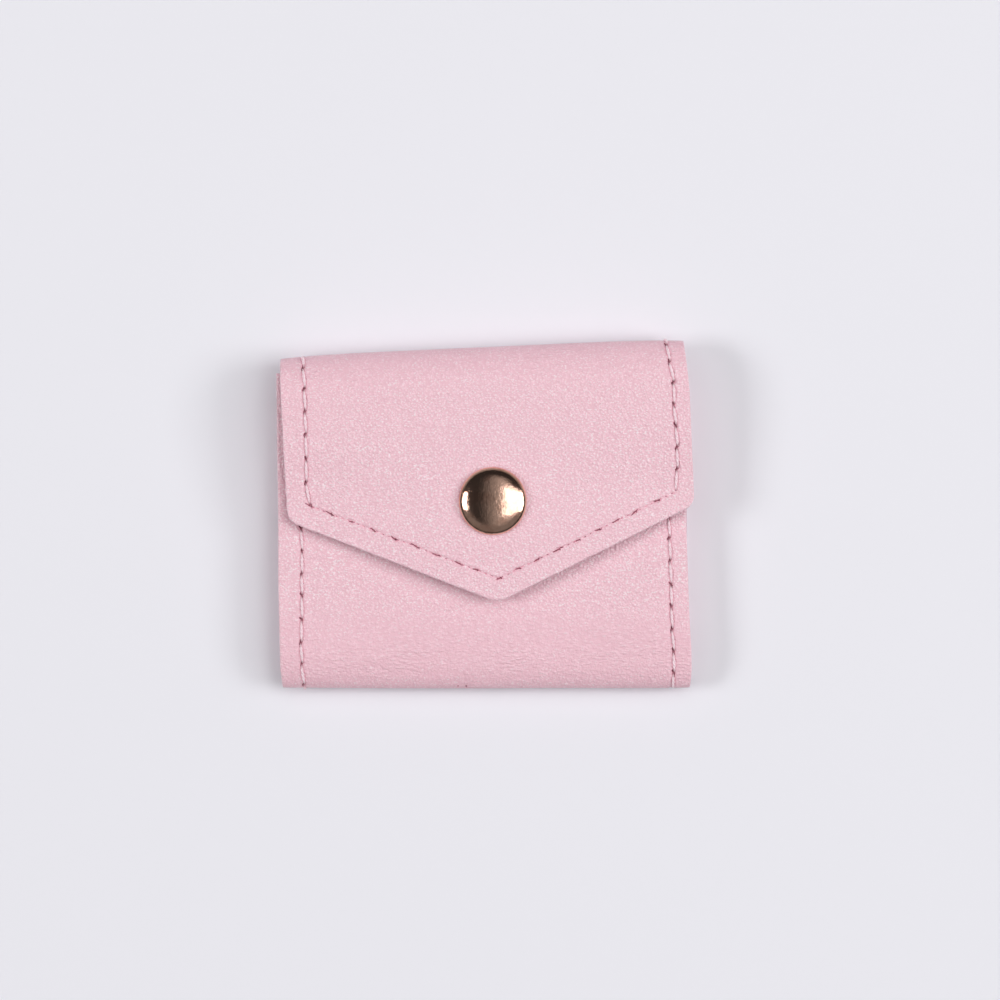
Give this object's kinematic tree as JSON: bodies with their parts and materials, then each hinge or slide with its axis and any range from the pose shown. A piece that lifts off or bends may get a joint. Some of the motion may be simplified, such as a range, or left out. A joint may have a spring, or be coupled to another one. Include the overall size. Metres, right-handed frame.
{
  "type": "jewelry travel pouch",
  "caption": "Small stitched leather envelope pouch with a pointed flap, side gussets and a domed metal snap, for rings and earrings.",
  "frame": {"origin": "in the middle of the back face, which lies on the table", "axes": "+X along the width, +Y from the bottom fold to the top fold, +Z out of the back face towards the flap"},
  "size_m": [0.0762, 0.0643, 0.014],
  "materials": {
    "outer_leather": "satin pebble grain",
    "lining": "brushed",
    "gusset_leather": "satin pebble grain",
    "seam_thread": "glossy polyester",
    "gold_cap": "polished pale gold",
    "snap_metal": "plated, satin",
    "spring_steel": "drawn wire"
  },
  "bodies": {
    "back": {"outer_back": "outer_leather", "lining_back": "lining", "gusset_left": "gusset_leather", "gusset_right": "gusset_leather", "stitching_back": "seam_thread"},
    "front": {"outer_front": "outer_leather", "lining_front": "lining", "stitching_front": "seam_thread", "snap_stud": "snap_metal", "snap_eyelet": "snap_metal"},
    "fold_lower": {"outer_fold_lower": "outer_leather", "lining_fold_lower": "lining", "stitching_fold_lower": "seam_thread"},
    "fold_middle": {"outer_fold_middle": "outer_leather", "lining_fold_middle": "lining", "stitching_fold_middle": "seam_thread"},
    "fold_upper": {"outer_fold_upper": "outer_leather", "lining_fold_upper": "lining", "stitching_fold_upper": "seam_thread"},
    "flap": {"outer_flap": "outer_leather", "lining_flap": "lining", "stitching_flap": "seam_thread", "snap_cap": "gold_cap", "snap_cap_post": "snap_metal", "snap_socket": "snap_metal", "snap_spring": "spring_steel"}
  },
  "joints": [
    {"name": "fold_at_back", "type": "hinge", "parent": "back", "child": "fold_lower", "pos_m": [0.00006, 0.02331, 0], "axis": [-0.999, -0.0454, 0], "range_deg": [0, 9.11]},
    {"name": "fold_lower_bend", "type": "hinge", "parent": "fold_lower", "child": "fold_middle", "pos_m": [-0.00023, 0.0297, 0.00234], "axis": [-0.999, -0.0454, 0], "range_deg": [0, 78]},
    {"name": "fold_upper_bend", "type": "hinge", "parent": "fold_middle", "child": "fold_upper", "pos_m": [-0.00023, 0.0297, 0.00936], "axis": [-0.999, -0.0454, 0], "range_deg": [0, 70.91]},
    {"name": "fold_at_flap", "type": "hinge", "parent": "fold_upper", "child": "flap", "pos_m": [0.00006, 0.02331, 0.0117], "axis": [-0.999, -0.0454, 0], "range_deg": [0, 20.61], "deforming": ["snap_spring"]},
    {"name": "pocket_mouth", "type": "hinge", "parent": "back", "child": "front", "pos_m": [0, -0.0228, 0], "axis": [1, 0, 0], "range_deg": [0, 8.01], "deforming": ["gusset_left", "gusset_right"]}
  ],
  "couplings": [
    {"joint": "fold_at_back", "follows": "fold_lower_bend", "ratio": 0.11667},
    {"joint": "fold_upper_bend", "follows": "fold_lower_bend", "ratio": 0.90897},
    {"joint": "fold_at_flap", "follows": "fold_lower_bend", "ratio": 0.2641},
    {"joint": "pocket_mouth", "follows": "fold_lower_bend", "ratio": 0.10256}
  ]
}
